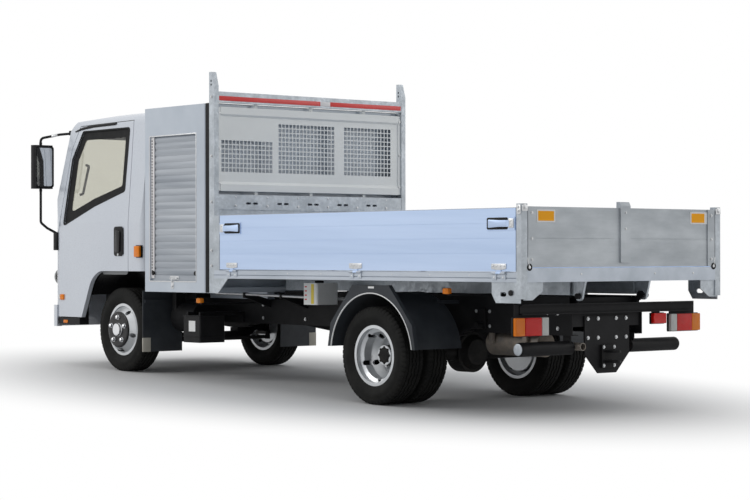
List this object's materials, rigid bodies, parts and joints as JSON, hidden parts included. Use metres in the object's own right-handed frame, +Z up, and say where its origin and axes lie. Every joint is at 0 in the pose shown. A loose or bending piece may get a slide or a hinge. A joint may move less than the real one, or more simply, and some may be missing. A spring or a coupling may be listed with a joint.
{
  "type": "dropside tipper truck",
  "caption": "Light tipper truck with tilting cab, tool locker across the frame, meshed headboard, and a dropside bed lifted by a telescopic ram",
  "frame": {"origin": "on the road under the middle of the truck's length and width", "axes": "+X to the truck's left, +Y to its rear, +Z up; the unladen frame sits 1.6 degrees nose down in it"},
  "size_m": [2.202, 6.0792, 2.4581],
  "materials": {
    "cab_paint": "pale silver-blue gloss paint",
    "aluminium": "mill-finish extrusion, faint lengthwise drawing lines",
    "galvanised": "hot-dip galvanised, mottled spangle",
    "grille_grey": "light grey powder coat",
    "chassis_black": "satin black chassis paint, dusty",
    "cast_black": "painted casting",
    "tyre_rubber": "moulded rubber with a ribbed tread",
    "wheel_silver": "silver wheel paint",
    "black_plastic": "grained black moulding",
    "glass": "lightly tinted safety glass",
    "lamp_lens": "moulded lamp lens",
    "tank_white": "white tank with a yellow stripe",
    "exhaust_steel": "dull aluminised steel",
    "ram_chrome": "hard chrome rod",
    "seat_fabric": "woven dark grey trim"
  },
  "bodies": {
    "chassis": {"front_axle": "chassis_black", "rear_axle": "chassis_black", "leaf_springs": "chassis_black", "chassis_frame": "chassis_black", "subframe": "chassis_black", "tow_bracket": "chassis_black", "underrun_bar": "chassis_black", "lamp_carrier": "chassis_black", "engine_and_gearbox": "cast_black", "propeller_shaft": "chassis_black", "fuel_tank": "chassis_black", "battery_box": "chassis_black", "air_cleaner": "black_plastic", "mudguards": "black_plastic", "oil_tank": "tank_white", "exhaust": "exhaust_steel", "lamps": "lamp_lens", "tool_locker": "cab_paint", "locker_shutters": "aluminium"},
    "front_wheel_left": {"tyre_front_left": "tyre_rubber", "wheel_front_left": "wheel_silver"},
    "rear_wheels_left": {"tyres_rear_left": "tyre_rubber", "wheels_rear_left": "wheel_silver"},
    "knuckle_left": {"knuckle_left": "cast_black"},
    "dropside_left": {"dropside_left": "aluminium"},
    "door_left": {"door_left": "cab_paint", "door_glass_left": "glass"},
    "front_wheel_right": {"tyre_front_right": "tyre_rubber", "wheel_front_right": "wheel_silver"},
    "rear_wheels_right": {"tyres_rear_right": "tyre_rubber", "wheels_rear_right": "wheel_silver"},
    "knuckle_right": {"knuckle_right": "cast_black"},
    "dropside_right": {"dropside_right": "aluminium"},
    "door_right": {"door_right": "cab_paint", "door_glass_right": "glass"},
    "track_rod": {"track_rod": "cast_black"},
    "bed": {"bed_floor": "aluminium", "bed_runners": "galvanised", "headboard_frame": "galvanised", "corner_posts": "galvanised", "headboard_grille": "grille_grey"},
    "tailgate": {"tailgate": "aluminium"},
    "ram_barrel": {"ram_barrel": "chassis_black"},
    "ram_stage_1": {"ram_stage_1": "ram_chrome"},
    "ram_stage_2": {"ram_stage_2": "ram_chrome"},
    "ram_stage_3": {"ram_stage_3": "ram_chrome"},
    "ram_stage_4": {"ram_stage_4": "ram_chrome"},
    "ram_stage_5": {"ram_stage_5": "ram_chrome"},
    "cab": {"cab_shell": "cab_paint", "bumper": "cab_paint", "cab_glass": "glass", "headlamps": "lamp_lens", "front_grille": "black_plastic", "cab_steps": "black_plastic", "mirrors": "black_plastic", "dashboard": "black_plastic", "steering_wheel": "black_plastic", "seats": "seat_fabric"}
  },
  "joints": [
    {"name": "bed_tip", "type": "hinge", "parent": "chassis", "child": "bed", "pos_m": [0, 2.91539, 0.83383], "axis": [-1, 0, 0], "range_deg": [0, 45]},
    {"name": "dropside_left", "type": "hinge", "parent": "bed", "child": "dropside_left", "pos_m": [1, 1.33148, 0.94892], "axis": [0, 0.9996, 0.0284], "range_deg": [0, 180]},
    {"name": "dropside_right", "type": "hinge", "parent": "bed", "child": "dropside_right", "pos_m": [-1, 1.33148, 0.94892], "axis": [0, -0.9996, -0.0284], "range_deg": [0, 180]},
    {"name": "tailgate", "type": "hinge", "parent": "bed", "child": "tailgate", "pos_m": [0, 3.00111, 1.4085], "axis": [1, 0, 0], "range_deg": [0, 90]},
    {"name": "ram_swing", "type": "hinge", "parent": "chassis", "child": "ram_barrel", "pos_m": [0, 1.0901, 0.64194], "axis": [-1, 0, 0], "range_deg": [0, 21.11]},
    {"name": "ram_slide_1", "type": "slide", "parent": "ram_barrel", "child": "ram_stage_1", "axis": [0, -0.0284, 0.9996], "range_m": [0, 0.27807]},
    {"name": "ram_slide_2", "type": "slide", "parent": "ram_stage_1", "child": "ram_stage_2", "axis": [0, -0.0284, 0.9996], "range_m": [0, 0.27807]},
    {"name": "ram_slide_3", "type": "slide", "parent": "ram_stage_2", "child": "ram_stage_3", "axis": [0, -0.0284, 0.9996], "range_m": [0, 0.27807]},
    {"name": "ram_slide_4", "type": "slide", "parent": "ram_stage_3", "child": "ram_stage_4", "axis": [0, -0.0284, 0.9996], "range_m": [0, 0.27807]},
    {"name": "ram_slide_5", "type": "slide", "parent": "ram_stage_4", "child": "ram_stage_5", "axis": [0, -0.0284, 0.9996], "range_m": [0, 0.27807]},
    {"name": "cab_tilt", "type": "hinge", "parent": "chassis", "child": "cab", "pos_m": [0, -2.85405, 0.37989], "axis": [1, 0, 0], "range_deg": [0, 45]},
    {"name": "door_left", "type": "hinge", "parent": "cab", "child": "door_left", "pos_m": [0.896, -2.82484, 0.8309], "axis": [0, 0.0284, -0.9996], "range_deg": [0, 70]},
    {"name": "door_right", "type": "hinge", "parent": "cab", "child": "door_right", "pos_m": [-0.896, -2.82484, 0.8309], "axis": [0, -0.0284, 0.9996], "range_deg": [0, 70]},
    {"name": "steer_left", "type": "hinge", "parent": "chassis", "child": "knuckle_left", "pos_m": [0.64, -1.9479, 0.352], "axis": [0, -0.0284, 0.9996], "range_deg": [-35, 35]},
    {"name": "front_spin_left", "type": "hinge", "parent": "knuckle_left", "child": "front_wheel_left", "pos_m": [0.737, -1.9479, 0.352], "axis": [1, 0, 0], "continuous": true},
    {"name": "rear_spin_left", "type": "hinge", "parent": "chassis", "child": "rear_wheels_left", "pos_m": [0.827, 1.44847, 0.352], "axis": [1, 0, 0], "continuous": true},
    {"name": "steer_right", "type": "hinge", "parent": "chassis", "child": "knuckle_right", "pos_m": [-0.64, -1.9479, 0.352], "axis": [0, -0.0284, 0.9996], "range_deg": [-35, 35]},
    {"name": "front_spin_right", "type": "hinge", "parent": "knuckle_right", "child": "front_wheel_right", "pos_m": [-0.737, -1.9479, 0.352], "axis": [1, 0, 0], "continuous": true},
    {"name": "rear_spin_right", "type": "hinge", "parent": "chassis", "child": "rear_wheels_right", "pos_m": [-0.827, 1.44847, 0.352], "axis": [1, 0, 0], "continuous": true},
    {"name": "track_rod", "type": "hinge", "parent": "knuckle_left", "child": "track_rod", "pos_m": [0.6, -1.79562, 0.27399], "axis": [0, -0.0284, 0.9996], "range_deg": [-40, 40]}
  ],
  "couplings": [
    {"joint": "ram_swing", "follows": "bed_tip", "ratio": 0.46825},
    {"joint": "ram_slide_1", "follows": "bed_tip", "m_per_rad": 0.35334},
    {"joint": "ram_slide_2", "follows": "bed_tip", "m_per_rad": 0.35334},
    {"joint": "ram_slide_3", "follows": "bed_tip", "m_per_rad": 0.35334},
    {"joint": "ram_slide_4", "follows": "bed_tip", "m_per_rad": 0.35334},
    {"joint": "ram_slide_5", "follows": "bed_tip", "m_per_rad": 0.35334},
    {"joint": "steer_right", "follows": "steer_left", "ratio": 1},
    {"joint": "track_rod", "follows": "steer_left", "ratio": -1.0626}
  ]
}
